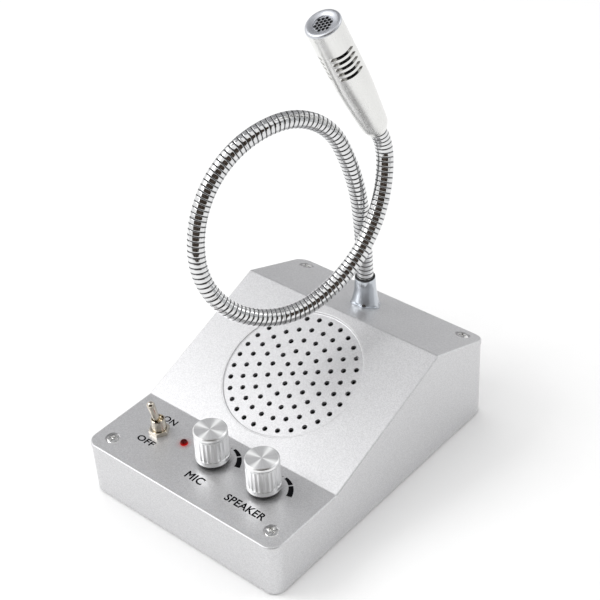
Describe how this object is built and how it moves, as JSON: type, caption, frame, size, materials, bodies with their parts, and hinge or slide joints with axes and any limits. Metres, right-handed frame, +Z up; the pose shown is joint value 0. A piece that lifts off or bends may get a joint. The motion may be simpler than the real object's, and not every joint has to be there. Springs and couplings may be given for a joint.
{
  "type": "counter intercom",
  "caption": "Desk intercom for a service counter: wedge-shaped case with speaker grille, two level knobs, toggle switch, power light and a looped gooseneck microphone.",
  "frame": {"origin": "middle of the footprint, on the surface that the rubber feet stand on", "axes": "+X to the right as seen from the controls, +Y to the back where the sockets are, +Z up"},
  "size_m": [0.11, 0.15, 0.2027],
  "materials": {
    "case_paint": "fine silver metallic paint, half matt",
    "rubber_black": "matt",
    "steel": "zinc plated",
    "speaker_cloth": "open black cloth",
    "speaker_paper": "pressed paper",
    "magnet": "ferrite",
    "board": "solder mask",
    "aluminium": "plain",
    "spun_aluminium": "spun, with cut flutes",
    "black_plastic": "moulded",
    "nickel": "bright nickel",
    "chrome": "bright",
    "brass": "plain",
    "red_lens": "tinted, clear",
    "brushed_aluminium": "bead blasted"
  },
  "bodies": {
    "case": {"housing": "case_paint", "rubber_feet": "rubber_black", "top_cover": "case_paint", "cover_screws": "steel", "speaker_cloth": "speaker_cloth", "speaker_gasket": "rubber_black", "speaker_basket": "steel", "speaker_cone": "speaker_paper", "speaker_magnet": "magnet", "speaker_yoke": "steel", "speaker_studs": "steel", "speaker_washers": "steel", "speaker_nuts": "steel", "circuit_board": "board", "board_screws": "steel", "capacitors": "aluminium", "amplifier_chip": "black_plastic", "heat_sink": "aluminium", "mic_level_pot": "steel", "mic_level_nut": "nickel", "speaker_level_pot": "steel", "speaker_level_nut": "nickel", "toggle_bushing": "nickel", "toggle_body": "black_plastic", "toggle_terminals": "brass", "toggle_nut": "nickel", "toggle_pin": "steel", "power_led": "red_lens", "led_spacer": "black_plastic", "dc_jack": "black_plastic", "window_unit_jack": "black_plastic", "record_jack": "black_plastic", "neck_socket": "nickel", "neck_socket_nut": "steel", "neck_seal_ring": "rubber_black", "neck_link_0": "chrome"},
    "mic_level_knob": {"mic_level_shaft": "aluminium", "mic_level_knob_core": "black_plastic", "mic_level_knob_cap": "spun_aluminium"},
    "speaker_level_knob": {"speaker_level_shaft": "aluminium", "speaker_level_knob_core": "black_plastic", "speaker_level_knob_cap": "spun_aluminium"},
    "toggle_lever": {"toggle_lever": "nickel"},
    "neck_1": {"neck_link_1": "chrome"},
    "neck_2": {"neck_link_2": "chrome"},
    "neck_3": {"neck_link_3": "chrome"},
    "neck_4": {"neck_link_4": "chrome"},
    "neck_5": {"neck_link_5": "chrome"},
    "neck_6": {"neck_link_6": "chrome"},
    "neck_7": {"neck_link_7": "chrome"},
    "neck_8": {"neck_link_8": "chrome", "mic_shell": "brushed_aluminium", "mic_end_disc": "brushed_aluminium", "mic_capsule": "aluminium", "mic_cradle": "rubber_black"}
  },
  "joints": [
    {"name": "mic_level", "type": "hinge", "parent": "case", "child": "mic_level_knob", "pos_m": [-0.001, -0.0497, 0.03], "axis": [0, 0, -1], "range_deg": [-150, 150]},
    {"name": "speaker_level", "type": "hinge", "parent": "case", "child": "speaker_level_knob", "pos_m": [0.0283, -0.0497, 0.03], "axis": [0, 0, -1], "range_deg": [-150, 150]},
    {"name": "power_switch", "type": "hinge", "parent": "case", "child": "toggle_lever", "pos_m": [-0.033, -0.0504, 0.0321], "axis": [-1, 0, 0], "range_deg": [0, 25]},
    {"name": "neck_bend_1", "type": "hinge", "parent": "case", "child": "neck_1", "pos_m": [-0.00099, 0.05548, 0.10047], "axis": [0.7174, -0.6966, 0.0095], "range_deg": [-20, 20]},
    {"name": "neck_sway_2", "type": "hinge", "parent": "neck_1", "child": "neck_2", "pos_m": [-0.00627, 0.04941, 0.13541], "axis": [-0.4169, -0.8315, -0.3671], "range_deg": [0, 20]},
    {"name": "neck_bend_3", "type": "hinge", "parent": "neck_2", "child": "neck_3", "pos_m": [-0.01825, 0.02389, 0.15392], "axis": [0.9249, -0.3427, 0.1648], "range_deg": [-4, 20]},
    {"name": "neck_sway_4", "type": "hinge", "parent": "neck_3", "child": "neck_4", "pos_m": [-0.02684, -0.00729, 0.14013], "axis": [-0.4128, -0.6025, 0.6831], "range_deg": [-20, 4]},
    {"name": "neck_bend_5", "type": "hinge", "parent": "neck_4", "child": "neck_5", "pos_m": [-0.02517, -0.02368, 0.10895], "axis": [0.8841, -0.3945, 0.2506], "range_deg": [-20, 4]},
    {"name": "neck_sway_6", "type": "hinge", "parent": "neck_5", "child": "neck_6", "pos_m": [-0.01174, -0.01294, 0.07921], "axis": [0.024, 0.5914, 0.806], "range_deg": [-20, 0]},
    {"name": "neck_bend_7", "type": "hinge", "parent": "neck_6", "child": "neck_7", "pos_m": [0.00314, 0.01817, 0.07524], "axis": [-0.8761, 0.3882, -0.2859], "range_deg": [-4, 20]},
    {"name": "neck_sway_8", "type": "hinge", "parent": "neck_7", "child": "neck_8", "pos_m": [0.00939, 0.04709, 0.09497], "axis": [-0.4992, -0.6288, 0.5961], "range_deg": [-20, 4]}
  ]
}
